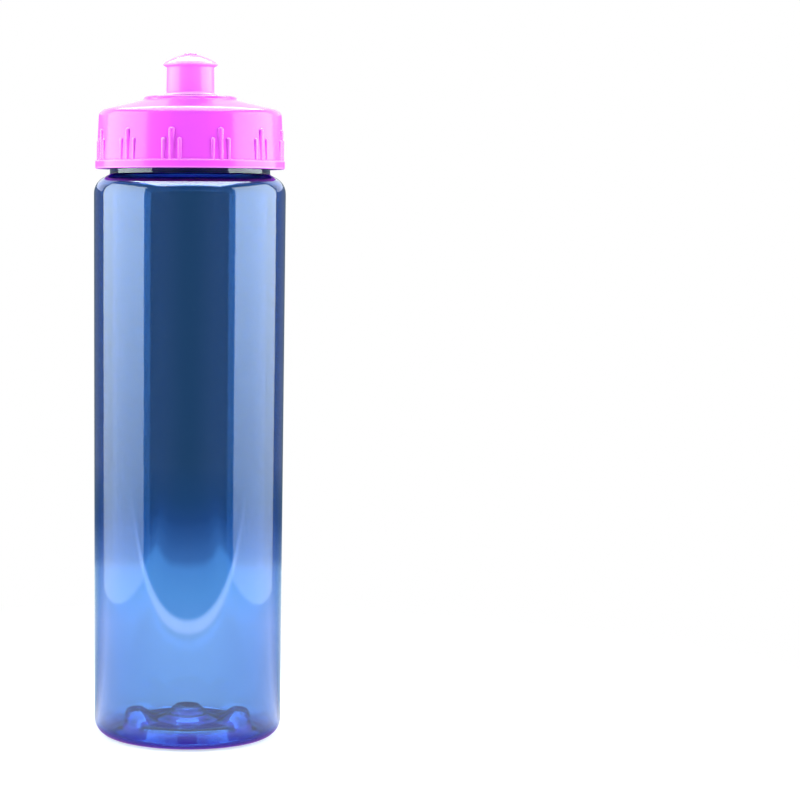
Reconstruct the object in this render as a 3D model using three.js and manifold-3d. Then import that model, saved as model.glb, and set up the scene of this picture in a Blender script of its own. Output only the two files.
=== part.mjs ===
// Sports squeeze bottle with a wide screw cap and a push-pull drinking spout.
//
// Units are millimetres, +Z is up, and the origin is the centre of the circle that the foot stands on.
// The bottle is shown closed: cap screwed home, spout pushed down. Four pieces:
//   bottle_body   blown wall, pushed-up base with two lugs, shoulder, threaded neck
//   lid_liner     soft sealing ring between the neck rim and the cap
//   screw_cap     ribbed cap with inner thread, chimney and the centre post that plugs the spout
//   pull_spout    push-pull spout that slides on the chimney

import * as THREE from "three";
import { mergeVertices } from "three/addons/utils/BufferGeometryUtils.js";
import Module from "manifold-3d";

const wasm = await Module();
wasm.setup();

// ---------------------------------------------------------------- driving dimensions

const ROUND_STEPS = 48; // facets round the bottle and the cap
const SPOUT_STEPS = 32; // facets round the spout and the chimney
const ARC_DIVISIONS = 2; // a rounded corner has twice as many facets

const GAP = 0.3; // running or resting clearance between neighbours

const WALL = 1.0; // blown wall of the bottle
const BASE_WALL = 1.5; // the thicker middle of the base
const WALL_RADIUS_LOW = 34.7; // the wall opens slightly towards the shoulder
const WALL_RADIUS_HIGH = 35.35;
const HEEL_RADIUS = 6.0; // rounded edge between foot and wall
const FOOT_OUTER_RADIUS = WALL_RADIUS_LOW - HEEL_RADIUS; // flat ring that the bottle stands on
const FOOT_INNER_RADIUS = 27.2;
const SHOULDER_HEIGHT = 201.2; // where the wall ends and the shoulder's arc starts
const SHOULDER_RADIUS = 6.5;
const SHOULDER_END = 62.7 * THREE.MathUtils.DEG2RAD; // angle that the shoulder's arc turns through

const LUG_LIFT = 4.1; // two raised lugs inside the base, on the X axis
const LUG_INNER_RADIUS = 14.0;
const LUG_OUTER_RADIUS = 23.0;
const LUG_HALF_ANGLE = 30; // degrees to each side of the X axis
const LUG_EDGE = 2.0; // radial run of a lug's sloping sides
const LUG_SIDE_ANGLE = 5; // half the degrees that its other two sides slope over

// The pushed-up base from its centre out, as radius and height of the underside: nub, then floor.
const BASE_RISE = [
  [0, 9.4],
  [4.4, 9.3],
  [7.3, 6.7],
  [LUG_INNER_RADIUS - LUG_EDGE, 4.4],
  [LUG_INNER_RADIUS, 3.9],
  [LUG_OUTER_RADIUS, 3.5],
  [LUG_OUTER_RADIUS + LUG_EDGE, 2.6],
];
const BASE_TOP = 14.0; // higher than anything in the base

const NECK_FOOT_HEIGHT = 208.2;
const NECK_RADIUS = 29.5;
const NECK_BORE_RADIUS = 27.0;
const NECK_FOOT_WALL = 1.1; // wall at the foot of the neck, before it thickens
const RIM_HEIGHT = 228.0; // top of the neck
const RIM_CHAMFER = 0.5;

const THREAD_LEAD = 6.0; // rise for each turn
const THREAD_ROOT_WIDTH = 2.4;
const THREAD_CREST_WIDTH = 1.2;
const THREAD_SINK = 0.4; // how far a thread's root reaches into the wall that carries it
const NECK_THREAD_CREST = 31.2;
const NECK_THREAD_TOP = 225.0; // height of its middle where it ends under the rim, at azimuth 0
const NECK_THREAD_TURNS = 1.25;
const CAP_THREAD_CREST = 30.1;
const CAP_THREAD_TURNS = 1.0;
const CAP_THREAD_TOP_ANGLE = -60; // degrees of azimuth
const CAP_THREAD_DROP = 2.0; // the cap's thread pulls up against the underside of the neck's

const FLANGE_BOTTOM = 210.2;
const FLANGE_TOP = 213.4;
const FLANGE_RADIUS = 34.87;
const SKIRT_RADIUS_LOW = 34.3;
const SKIRT_RADIUS_HIGH = 33.6;
const SKIRT_TOP = 230.1;
const CAP_BORE_RADIUS = 31.8;
const CONE_EDGE_RADIUS = 32.3; // the sloping top of the cap, from its edge to the raised disc
const CONE_EDGE_HEIGHT = 231.75;
const DISC_RADIUS_LOW = 17.2;
const DISC_RADIUS_HIGH = 16.8;
const CONE_TOP_HEIGHT = 235.4;
const DISC_HEIGHT = 236.7;
const CAP_THICKNESS = 1.9;

const PLUG_RING_OUTER = 26.0; // ring under the cap that enters the neck and holds the liner
const PLUG_RING_INNER = 24.8;
const PLUG_RING_BOTTOM = 225.6;
const LINER_THICKNESS = 1.0;
const LINER_OUTER_RADIUS = 31.0;

const CHIMNEY_RADIUS = 6.2;
const CHIMNEY_BORE = 5.0;
const CHIMNEY_TOP = 246.8;
const CHIMNEY_BEAD = 0.4; // catches the spout's bead at the end of its travel
const CHIMNEY_BEAD_DEPTH = 1.2; // from the chimney's top to the bead's underside
const POST_RADIUS = 2.1;
const POST_TIP_RADIUS = 2.5;
const POST_BOTTOM = 236.0;
const POST_TOP = 252.5;
const SPOKES = 4;
const SPOKE_THICKNESS = 1.1;
const SPOKE_BOTTOM = 239.0;
const SPOKE_TOP = 243.0;

const RIB_GROUPS = 12; // finger grips round the cap: one tall rib between two short ones
const FIRST_RIB_ANGLE = -71.3; // degrees of azimuth of one group's tall rib
const SIDE_RIB_ANGLE = 5;
const TALL_RIB = { radius: 1.2, top: 224.8 };
const SIDE_RIB = { radius: 0.75, top: 221.0 };
const RIB_OUTER_RADIUS = 34.8;
const RIB_BOTTOM = 211.6; // inside the flange

const SPOUT_BOTTOM = DISC_HEIGHT + 0.4;
const SPOUT_FOOT_RADIUS = 9.8;
const SPOUT_BARREL_LOW = 8.8;
const SPOUT_BARREL_HIGH = 8.67;
const SPOUT_LIP_RADIUS = 10.18;
const SPOUT_LIP_HEIGHT = 248.4;
const SPOUT_BORE = CHIMNEY_RADIUS + CHIMNEY_BEAD + GAP;
const SPOUT_BEAD_BORE = CHIMNEY_RADIUS + GAP;
const ORIFICE_RADIUS = POST_TIP_RADIUS + GAP;
// The spout's domed top from the lip in, as radius and rise above the lip.
const SPOUT_DOME = [
  [SPOUT_LIP_RADIUS - 0.25, 0.55],
  [7.6, 2.0],
  [4.8, 3.1],
  [ORIFICE_RADIUS + 0.3, 3.6],
  [ORIFICE_RADIUS, 3.3],
];

// ---------------------------------------------------------------- solids and profiles

/** A closed solid from a three.js geometry: shared vertices merged, empty triangles left out. */
function toSolid(geometry) {
  const bare = geometry.clone();
  bare.deleteAttribute("normal");
  bare.deleteAttribute("uv");
  const merged = mergeVertices(bare, 1e-4);
  const index = merged.index.array;
  const corners = [];
  for (let i = 0; i < index.length; i += 3) {
    const [a, b, c] = index.slice(i, i + 3);
    if (a !== b && b !== c && c !== a) corners.push(a, b, c);
  }
  return new wasm.Manifold(
    new wasm.Mesh({
      numProp: 3,
      vertProperties: new Float32Array(merged.attributes.position.array),
      triVerts: new Uint32Array(corners),
    }),
  );
}

/** A three.js geometry from a solid. */
function toGeometry(solid) {
  const mesh = solid.getMesh();
  const geometry = new THREE.BufferGeometry();
  geometry.setAttribute("position", new THREE.BufferAttribute(mesh.vertProperties, 3));
  geometry.setIndex(new THREE.BufferAttribute(mesh.triVerts, 1));
  geometry.computeVertexNormals();
  return geometry;
}

/** Turns an outline about the Z axis. The outline runs up the outside and down the inside. */
function revolve(outline, steps) {
  const lathe = new THREE.LatheGeometry(outline, steps);
  lathe.rotateX(Math.PI / 2);
  lathe.rotateZ(Math.PI / 2);
  return lathe;
}

/** Starts an outline at a radius and height. */
function startOutline(radius, height) {
  const outline = new THREE.Path();
  outline.moveTo(radius, height);
  return outline;
}

/** Adds straight stretches to an outline. */
function lineThrough(outline, points) {
  for (const [radius, height] of points) outline.lineTo(radius, height);
}

/** Moves every vertex of a geometry. */
function reshape(geometry, move) {
  const position = geometry.attributes.position;
  const vertex = new THREE.Vector3();
  for (let i = 0; i < position.count; i += 1) {
    vertex.fromBufferAttribute(position, i);
    move(vertex);
    position.setXYZ(i, vertex.x, vertex.y, vertex.z);
  }
  return geometry;
}

/**
 * A thread: a straight bar of the thread's section, wound down clockwise from its top end.
 * The section runs from the wall's side (root) to the free edge (crest).
 */
function windThread({ root, crest, topAngle, topHeight, turns }) {
  const outward = Math.sign(crest - root);
  const section = new THREE.Shape([
    new THREE.Vector2(root - outward * THREAD_SINK, -THREAD_ROOT_WIDTH / 2),
    new THREE.Vector2(crest, -THREAD_CREST_WIDTH / 2),
    new THREE.Vector2(crest, THREAD_CREST_WIDTH / 2),
    new THREE.Vector2(root - outward * THREAD_SINK, THREAD_ROOT_WIDTH / 2),
  ]);
  const steps = Math.round(ROUND_STEPS * turns);
  const bar = new THREE.ExtrudeGeometry(section, { depth: turns, steps, bevelEnabled: false });
  return toSolid(
    reshape(bar, (vertex) => {
      const azimuth = topAngle * THREE.MathUtils.DEG2RAD - vertex.z * 2 * Math.PI;
      const height = topHeight + vertex.y - vertex.z * THREAD_LEAD;
      vertex.set(vertex.x * Math.cos(azimuth), vertex.x * Math.sin(azimuth), height);
    }),
  );
}

// ---------------------------------------------------------------- bottle

/** How far a point of the base is lifted by the nearer lug. */
function lugLift(x, y) {
  const { smoothstep, RAD2DEG } = THREE.MathUtils;
  const radius = Math.hypot(x, y);
  const angle = Math.atan2(Math.abs(y), Math.abs(x)) * RAD2DEG;
  const inFromCentre = smoothstep(radius, LUG_INNER_RADIUS - LUG_EDGE, LUG_INNER_RADIUS);
  const outToWall = 1 - smoothstep(radius, LUG_OUTER_RADIUS, LUG_OUTER_RADIUS + LUG_EDGE);
  const sideStart = LUG_HALF_ANGLE - LUG_SIDE_ANGLE;
  const side = 1 - smoothstep(angle, sideStart, LUG_HALF_ANGLE + LUG_SIDE_ANGLE);
  return LUG_LIFT * inFromCentre * outToWall * side;
}

function makeBottleShell() {
  const shoulderCentre = WALL_RADIUS_HIGH - SHOULDER_RADIUS;
  const [baseCentre, ...baseRest] = BASE_RISE;
  const outline = startOutline(...baseCentre);
  // Underside: nub and floor, then the slope down to the flat foot.
  lineThrough(outline, [...baseRest, [FOOT_INNER_RADIUS, 0], [FOOT_OUTER_RADIUS, 0]]);
  // Outside: heel, wall, shoulder, neck, rim and the top of the bore.
  outline.absarc(FOOT_OUTER_RADIUS, HEEL_RADIUS, HEEL_RADIUS, -Math.PI / 2, 0, false);
  outline.absarc(shoulderCentre, SHOULDER_HEIGHT, SHOULDER_RADIUS, 0, SHOULDER_END, false);
  lineThrough(outline, [
    [NECK_RADIUS, NECK_FOOT_HEIGHT],
    [NECK_RADIUS, RIM_HEIGHT - RIM_CHAMFER],
    [NECK_RADIUS - RIM_CHAMFER, RIM_HEIGHT],
    [NECK_BORE_RADIUS + RIM_CHAMFER, RIM_HEIGHT],
    [NECK_BORE_RADIUS, RIM_HEIGHT - RIM_CHAMFER],
    [NECK_BORE_RADIUS, NECK_FOOT_HEIGHT + NECK_FOOT_WALL],
    [NECK_RADIUS - NECK_FOOT_WALL, NECK_FOOT_HEIGHT - NECK_FOOT_WALL / 2],
  ]);
  // Inside: the same shoulder, wall and heel one wall in, then the base's thicker floor.
  outline.absarc(shoulderCentre, SHOULDER_HEIGHT, SHOULDER_RADIUS - WALL, SHOULDER_END, 0, true);
  outline.absarc(FOOT_OUTER_RADIUS, HEEL_RADIUS, HEEL_RADIUS - WALL, 0, -Math.PI / 2, true);
  outline.lineTo(FOOT_INNER_RADIUS + WALL / 2, WALL);
  lineThrough(
    outline,
    BASE_RISE.map(([radius, height]) => [radius, height + BASE_WALL]).reverse(),
  );
  return outline.getPoints(ARC_DIVISIONS);
}

function makeBottle() {
  const lathe = revolve(makeBottleShell(), ROUND_STEPS);
  reshape(lathe, (vertex) => {
    if (vertex.z < BASE_TOP) vertex.z += lugLift(vertex.x, vertex.y);
  });
  const thread = windThread({
    root: NECK_RADIUS,
    crest: NECK_THREAD_CREST,
    topAngle: 0,
    topHeight: NECK_THREAD_TOP,
    turns: NECK_THREAD_TURNS,
  });
  return toGeometry(toSolid(lathe).add(thread));
}

// ---------------------------------------------------------------- lid

function makeCapShell() {
  const coneSlope = (CONE_TOP_HEIGHT - CONE_EDGE_HEIGHT) / (CONE_EDGE_RADIUS - DISC_RADIUS_LOW);
  const seat = RIM_HEIGHT + LINER_THICKNESS + 2 * GAP;
  const ceiling = DISC_HEIGHT - CAP_THICKNESS;
  const underCone = (radius) => CONE_EDGE_HEIGHT + (CONE_EDGE_RADIUS - radius) * coneSlope - CAP_THICKNESS;
  const beadBottom = CHIMNEY_TOP - CHIMNEY_BEAD_DEPTH;
  const outline = startOutline(CAP_BORE_RADIUS, FLANGE_BOTTOM);
  // Outside: flange, skirt, sloping top, raised disc, chimney with its bead.
  lineThrough(outline, [
    [FLANGE_RADIUS - 0.3, FLANGE_BOTTOM],
    [FLANGE_RADIUS, FLANGE_BOTTOM + 0.3],
    [FLANGE_RADIUS, FLANGE_TOP - 0.4],
    [FLANGE_RADIUS - 0.4, FLANGE_TOP],
    [SKIRT_RADIUS_LOW, FLANGE_TOP],
    [SKIRT_RADIUS_HIGH, SKIRT_TOP],
    [SKIRT_RADIUS_HIGH - 0.35, SKIRT_TOP + 1.1],
    [CONE_EDGE_RADIUS, CONE_EDGE_HEIGHT],
    [DISC_RADIUS_LOW, CONE_TOP_HEIGHT],
    [DISC_RADIUS_HIGH, DISC_HEIGHT],
    [CHIMNEY_RADIUS, DISC_HEIGHT],
    [CHIMNEY_RADIUS, beadBottom],
    [CHIMNEY_RADIUS + CHIMNEY_BEAD, beadBottom + 0.3],
    [CHIMNEY_RADIUS + CHIMNEY_BEAD, beadBottom + 0.7],
    [CHIMNEY_RADIUS - 0.1, CHIMNEY_TOP],
    [CHIMNEY_BORE, CHIMNEY_TOP],
  ]);
  // Inside: chimney bore, underside, plug ring, liner seat, skirt.
  lineThrough(outline, [
    [CHIMNEY_BORE, ceiling],
    [DISC_RADIUS_LOW - 1, ceiling],
    [DISC_RADIUS_LOW, underCone(DISC_RADIUS_LOW)],
    [PLUG_RING_INNER, underCone(PLUG_RING_INNER)],
    [PLUG_RING_INNER, PLUG_RING_BOTTOM],
    [PLUG_RING_OUTER - 0.4, PLUG_RING_BOTTOM],
    [PLUG_RING_OUTER, PLUG_RING_BOTTOM + 0.8],
    [PLUG_RING_OUTER, seat],
    [CAP_BORE_RADIUS, seat],
    [CAP_BORE_RADIUS, FLANGE_BOTTOM],
  ]);
  return outline.getPoints(ARC_DIVISIONS);
}

/** The post in the chimney, whose tip closes the spout. */
function makePost() {
  const outline = startOutline(0, POST_BOTTOM);
  lineThrough(outline, [
    [POST_RADIUS - 0.5, POST_BOTTOM],
    [POST_RADIUS, POST_BOTTOM + 0.5],
    [POST_RADIUS, SPOUT_LIP_HEIGHT - 1],
    [POST_TIP_RADIUS, SPOUT_LIP_HEIGHT],
    [POST_TIP_RADIUS, POST_TOP - 0.6],
    [POST_TIP_RADIUS - 0.7, POST_TOP],
    [0, POST_TOP],
  ]);
  return toSolid(revolve(outline.getPoints(ARC_DIVISIONS), SPOUT_STEPS));
}

/** Four flat arms that hold the post in the middle of the chimney, and let the drink past. */
function makeSpokes() {
  const height = SPOKE_TOP - SPOKE_BOTTOM;
  const reach = (CHIMNEY_BORE + CHIMNEY_RADIUS) / 2;
  const spokes = [];
  for (let i = 0; i < SPOKES / 2; i += 1) {
    const bar = new THREE.BoxGeometry(2 * reach, SPOKE_THICKNESS, height);
    bar.translate(0, 0, SPOKE_BOTTOM + height / 2);
    bar.rotateZ((i * 2 * Math.PI) / SPOKES);
    spokes.push(toSolid(bar));
  }
  return wasm.Manifold.union(spokes);
}

/** One half-round finger rib with a domed top, standing out of the skirt at an azimuth in degrees. */
function makeRib({ radius, top }, angle) {
  const rib = new THREE.CapsuleGeometry(radius, top - radius - RIB_BOTTOM, 2, 10);
  rib.rotateX(Math.PI / 2);
  rib.translate(RIB_OUTER_RADIUS - radius, 0, (top - radius + RIB_BOTTOM) / 2);
  rib.rotateZ(angle * THREE.MathUtils.DEG2RAD);
  return toSolid(rib);
}

function makeRibs() {
  const ribs = [];
  for (let i = 0; i < RIB_GROUPS; i += 1) {
    const angle = FIRST_RIB_ANGLE + (i * 360) / RIB_GROUPS;
    ribs.push(makeRib(TALL_RIB, angle));
    ribs.push(makeRib(SIDE_RIB, angle - SIDE_RIB_ANGLE));
    ribs.push(makeRib(SIDE_RIB, angle + SIDE_RIB_ANGLE));
  }
  return wasm.Manifold.union(ribs);
}

function makeCap() {
  const turned = CAP_THREAD_TOP_ANGLE / 360;
  const thread = windThread({
    root: CAP_BORE_RADIUS,
    crest: CAP_THREAD_CREST,
    topAngle: CAP_THREAD_TOP_ANGLE,
    topHeight: NECK_THREAD_TOP - CAP_THREAD_DROP + turned * THREAD_LEAD,
    turns: CAP_THREAD_TURNS,
  });
  const shell = toSolid(revolve(makeCapShell(), ROUND_STEPS));
  return toGeometry(shell.add(thread).add(makeRibs()).add(makePost()).add(makeSpokes()));
}

function makeLiner() {
  const bottom = RIM_HEIGHT + GAP;
  const top = bottom + LINER_THICKNESS;
  const inner = PLUG_RING_OUTER + GAP;
  const outline = startOutline(inner, bottom);
  lineThrough(outline, [
    [LINER_OUTER_RADIUS, bottom],
    [LINER_OUTER_RADIUS, top],
    [inner, top],
    [inner, bottom],
  ]);
  return toGeometry(toSolid(revolve(outline.getPoints(ARC_DIVISIONS), ROUND_STEPS)));
}

function makeSpout() {
  const outline = startOutline(SPOUT_BEAD_BORE + GAP, SPOUT_BOTTOM);
  // Outside: flared foot, barrel, lip, domed top down into the orifice.
  lineThrough(outline, [
    [SPOUT_FOOT_RADIUS, SPOUT_BOTTOM],
    [SPOUT_FOOT_RADIUS - 0.1, SPOUT_BOTTOM + 0.4],
    [SPOUT_BARREL_LOW + 0.3, SPOUT_BOTTOM + 0.9],
    [SPOUT_BARREL_LOW, SPOUT_BOTTOM + 1.9],
    [SPOUT_BARREL_HIGH, SPOUT_LIP_HEIGHT - 1.5],
    [SPOUT_LIP_RADIUS - 0.5, SPOUT_LIP_HEIGHT - 0.8],
    [SPOUT_LIP_RADIUS, SPOUT_LIP_HEIGHT],
    ...SPOUT_DOME.map(([radius, rise]) => [radius, SPOUT_LIP_HEIGHT + rise]),
  ]);
  // Inside: orifice, ceiling, bore, bead that the chimney's bead catches.
  lineThrough(outline, [
    [ORIFICE_RADIUS, SPOUT_LIP_HEIGHT + 1.6],
    [SPOUT_BORE, SPOUT_LIP_HEIGHT - 0.4],
    [SPOUT_BORE, SPOUT_BOTTOM + 1.4],
    [SPOUT_BEAD_BORE, SPOUT_BOTTOM + 1.1],
    [SPOUT_BEAD_BORE, SPOUT_BOTTOM + 0.4],
    [SPOUT_BEAD_BORE + GAP, SPOUT_BOTTOM],
  ]);
  return toGeometry(toSolid(revolve(outline.getPoints(ARC_DIVISIONS), SPOUT_STEPS)));
}

// ---------------------------------------------------------------- assembly

const clearBlue = new THREE.MeshStandardMaterial({
  color: 0x2f62c8,
  roughness: 0.08,
  metalness: 0,
  transparent: true,
  opacity: 0.55,
});
const glossPink = new THREE.MeshStandardMaterial({ color: 0xf24fe8, roughness: 0.25, metalness: 0 });
const palePink = new THREE.MeshStandardMaterial({ color: 0xf870f2, roughness: 0.3, metalness: 0 });
const softWhite = new THREE.MeshStandardMaterial({ color: 0xe9e7e4, roughness: 0.75, metalness: 0 });

/** A named piece of the bottle. */
function addPiece(group, name, geometry, material) {
  const piece = new THREE.Mesh(geometry, material);
  piece.name = name;
  group.add(piece);
}

const bottle = new THREE.Group();
const lid = new THREE.Group();
addPiece(bottle, "bottle_body", makeBottle(), clearBlue);
addPiece(lid, "lid_liner", makeLiner(), softWhite);
addPiece(lid, "screw_cap", makeCap(), glossPink);
addPiece(lid, "pull_spout", makeSpout(), palePink);
bottle.add(lid);

export default bottle;
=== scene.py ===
"""Sports squeeze bottle: clear blue body, pink screw cap, push-pull spout and sealing liner."""

import math

import bmesh
import bpy
from bpy.props import FloatProperty, FloatVectorProperty, IntProperty, PointerProperty
from mathutils import Matrix, Quaternion, Vector


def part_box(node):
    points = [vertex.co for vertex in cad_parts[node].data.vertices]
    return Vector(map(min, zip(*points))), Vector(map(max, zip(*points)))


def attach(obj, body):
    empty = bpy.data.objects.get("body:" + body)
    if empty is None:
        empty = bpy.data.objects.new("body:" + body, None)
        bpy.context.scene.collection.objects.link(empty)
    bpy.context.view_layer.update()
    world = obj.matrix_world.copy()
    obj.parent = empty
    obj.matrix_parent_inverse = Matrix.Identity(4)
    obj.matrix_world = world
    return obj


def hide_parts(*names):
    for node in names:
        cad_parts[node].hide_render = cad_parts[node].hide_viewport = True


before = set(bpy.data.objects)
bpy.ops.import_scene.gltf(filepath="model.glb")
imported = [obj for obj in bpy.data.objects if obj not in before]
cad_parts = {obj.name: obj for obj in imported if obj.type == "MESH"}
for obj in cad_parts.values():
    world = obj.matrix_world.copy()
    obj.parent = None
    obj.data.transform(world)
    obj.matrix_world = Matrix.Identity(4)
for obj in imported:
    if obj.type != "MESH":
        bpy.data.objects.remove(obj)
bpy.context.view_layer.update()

bl_info = {
    "name": "Sports Squeeze Bottle",
    "version": (1, 0, 0),
    "blender": (4, 5, 0),
    "location": "3D View > Sidebar > Bottle",
    "description": "Builds a clear sports bottle with a screw cap and a push-pull spout",
    "category": "Add Mesh",
}

MM = 0.001

BODY_LOW, BODY_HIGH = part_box("bottle_body")
CAP_LOW, CAP_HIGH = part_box("screw_cap")
SPOUT_LOW, SPOUT_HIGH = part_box("pull_spout")
LINER_LOW, LINER_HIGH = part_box("lid_liner")

BODY_SEGMENTS = 192  # round the bottle and the cap
SPOUT_SEGMENTS = 128  # round the spout and the post
FILLET_STEP = math.radians(11)  # largest turn between two points of a rounded corner
SHARP_ANGLE = math.radians(38)  # edges that turn more than this stay crisp
ON_AXIS = 1e-7  # a smaller radius is a point on the axis
ON_WALL = 0.05 * MM  # how near to a wall's radius a point still counts as on it


# ------------------------------------------------------------------ sizes and colours


class BottleSizes(bpy.types.PropertyGroup):
    """Sizes and tint of the blown bottle"""

    radius: FloatProperty(
        name="Radius",
        description="Largest radius of the wall, just under the shoulder",
        default=BODY_HIGH.x,
        unit="LENGTH",
    )
    rim: FloatProperty(
        name="Rim height",
        description="Height of the top of the neck",
        default=BODY_HIGH.z,
        unit="LENGTH",
    )
    wall: FloatProperty(
        name="Wall",
        description="Thickness of the blown wall",
        default=1.0 * MM,
        unit="LENGTH",
    )
    base_wall: FloatProperty(
        name="Base wall",
        description="Thickness of the middle of the base",
        default=1.5 * MM,
        unit="LENGTH",
    )
    lug_lift: FloatProperty(
        name="Lug lift",
        description="Height of the two raised lugs inside the base",
        default=4.1 * MM,
        unit="LENGTH",
    )
    tint: FloatVectorProperty(
        name="Tint",
        description="Colour that the plastic lets through",
        subtype="COLOR",
        size=3,
        default=(0.028, 0.465, 0.821),
    )
    tint_density: FloatProperty(
        name="Tint density",
        description="How strongly a metre of the plastic takes up the other colours",
        default=1300.0,
    )


class LidSizes(bpy.types.PropertyGroup):
    """Sizes and colours of the cap, the spout and the liner"""

    radius: FloatProperty(
        name="Flange radius",
        description="Radius of the flange at the foot of the cap",
        default=CAP_HIGH.x,
        unit="LENGTH",
    )
    grip_count: IntProperty(
        name="Grip groups",
        description="How many groups of finger ribs stand round the skirt",
        default=12,
    )
    grip_start: FloatProperty(
        name="First grip",
        description="Azimuth of the first group of ribs",
        default=math.radians(-71.3),
        unit="ROTATION",
    )
    pink: FloatVectorProperty(
        name="Cap colour",
        description="Colour of the moulded cap",
        subtype="COLOR",
        size=3,
        default=(0.9, 0.09, 0.93),
    )
    spout_pink: FloatVectorProperty(
        name="Spout colour",
        description="Colour of the moulded spout, which is paler than the cap",
        subtype="COLOR",
        size=3,
        default=(0.93, 0.19, 0.93),
    )
    liner_colour: FloatVectorProperty(
        name="Liner colour",
        description="Colour of the soft sealing ring",
        subtype="COLOR",
        size=3,
        default=(0.82, 0.80, 0.78),
    )


class StageSettings(bpy.types.PropertyGroup):
    """Floor, lights and camera"""

    side_glow: FloatProperty(
        name="Side softboxes",
        description="Brightness of the tall softboxes at the sides",
        default=4.9,
    )
    top_glow: FloatProperty(
        name="Top softbox",
        description="Brightness of the wide softbox overhead, as glossy surfaces show it",
        default=14.0,
    )
    backdrop_glow: FloatProperty(
        name="Backdrop",
        description="Brightness of the high backdrop, as glossy surfaces show it",
        default=1.3,
    )
    key_power: FloatProperty(
        name="Key light",
        description="Power of the overhead light on matt surfaces",
        default=1.6,
        unit="POWER",
    )
    fill: FloatProperty(
        name="Fill",
        description="Even light on matt surfaces from all round",
        default=0.1,
    )


# ------------------------------------------------------------------ mesh helpers


def rounded(corners):
    """An outline in metres from (radius, height, fillet) corners in millimetres, in a closed loop."""
    points = []
    count = len(corners)
    for i, (radius, height, fillet) in enumerate(corners):
        here = Vector((radius, height))
        if not fillet:
            points.append(here * MM)
            continue
        before = Vector(corners[i - 1][:2])
        after = Vector(corners[(i + 1) % count][:2])
        back = (before - here).normalized()
        ahead = (after - here).normalized()
        half = back.angle(ahead) / 2
        centre = here + (back + ahead).normalized() * fillet / math.sin(half)
        start = here + back * fillet / math.tan(half) - centre
        turn = math.pi - 2 * half
        if back.x * ahead.y - back.y * ahead.x > 0:
            turn = -turn
        steps = max(2, math.ceil(abs(turn) / FILLET_STEP))
        for k in range(steps + 1):
            c, s = math.cos(turn * k / steps), math.sin(turn * k / steps)
            arm = Vector((start.x * c - start.y * s, start.x * s + start.y * c))
            points.append((centre + arm) * MM)
    return points


def closer(outline, needs_step):
    """The outline with more points where needs_step(radius, height) gives a largest spacing."""
    points = []
    for here, after in zip(outline, outline[1:] + outline[:1]):
        middle = (here + after) / 2
        step = needs_step(middle.x, middle.y)
        parts = max(1, math.ceil((after - here).length / step)) if step else 1
        points += [here.lerp(after, k / parts) for k in range(parts)]
    return points


def revolve(name, outline, segments, relief=None):
    """Turns a closed outline about the Z axis. The outline runs up the outside and down the inside."""
    bm = bmesh.new()
    rings = []
    for radius, height in outline:
        if radius < ON_AXIS:
            rings.append([bm.verts.new((0, 0, height))])
            continue
        ring = []
        for k in range(segments):
            azimuth = 2 * math.pi * k / segments
            r, z = relief(azimuth, radius, height) if relief else (radius, height)
            ring.append(bm.verts.new((r * math.cos(azimuth), r * math.sin(azimuth), z)))
        rings.append(ring)
    for low, high in zip(rings, rings[1:] + rings[:1]):
        if len(low) == 1 and len(high) == 1:
            continue
        for k in range(segments):
            k2 = (k + 1) % segments
            below = (low[k % len(low)], low[k2 % len(low)])
            above = (high[k2 % len(high)], high[k % len(high)])
            bm.faces.new(list(dict.fromkeys(below + above)))
    mesh = bpy.data.meshes.new(name)
    bm.to_mesh(mesh)
    bm.free()
    return mesh


def show(name, mesh):
    """A new object at the origin with the mesh, smooth except at its crisp edges."""
    mesh.shade_smooth()
    mesh.set_sharp_from_angle(angle=SHARP_ANGLE)
    piece = bpy.data.objects.new(name, mesh)
    bpy.context.scene.collection.objects.link(piece)
    return piece


def settle(piece):
    """Replaces a piece's mesh by the evaluated one and removes its modifiers."""
    evaluated = piece.evaluated_get(bpy.context.evaluated_depsgraph_get())
    mesh = bpy.data.meshes.new_from_object(evaluated)
    piece.modifiers.clear()
    piece.data = mesh
    return piece


def join_solids(piece, others):
    """Joins closed pieces into one closed mesh and removes the others."""
    for other in others:
        cut = piece.modifiers.new("Join", "BOOLEAN")
        cut.operation = "UNION"
        cut.solver = "EXACT"
        cut.object = other
        settle(piece)
        bpy.data.objects.remove(other)
    piece.data.shade_smooth()
    piece.data.set_sharp_from_angle(angle=SHARP_ANGLE)
    return piece


def smoothstep(x, low, high):
    """0 up to low, 1 from high on, and a smooth rise between them."""
    t = min(1.0, max(0.0, (x - low) / (high - low)))
    return t * t * (3 - 2 * t)


# ------------------------------------------------------------------ threads

THREAD_LEAD = 6.0 * MM  # rise for each turn
THREAD_ROOT_HALF = 1.2 * MM  # half the thread's width where it leaves the wall
THREAD_CREST_HALF = 0.6 * MM
THREAD_RUN_IN = 0.05  # turns over which a thread's end rises out of the wall
NECK_THREAD = {"top": 225.0 * MM, "angle": 0.0, "turns": 1.25, "height": 1.7 * MM}
CAP_THREAD = {"top": 222.0 * MM, "angle": math.radians(-60), "turns": 1.0, "height": 1.7 * MM}


def thread_height(azimuth, height, thread):
    """How far the thread stands out of its wall at a place on it."""
    turn = (azimuth - thread["angle"]) / (2 * math.pi)
    rise = (height - thread["top"]) / THREAD_LEAD - turn
    nearest = round(rise)
    off = abs(rise - nearest) * THREAD_LEAD
    wound = -(turn + nearest)
    flank = (THREAD_ROOT_HALF - off) / (THREAD_ROOT_HALF - THREAD_CREST_HALF)
    start = smoothstep(wound, 0, THREAD_RUN_IN)
    end = 1 - smoothstep(wound, thread["turns"] - THREAD_RUN_IN, thread["turns"])
    return thread["height"] * min(1.0, max(0.0, flank)) * start * end


# ------------------------------------------------------------------ bottle

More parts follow.
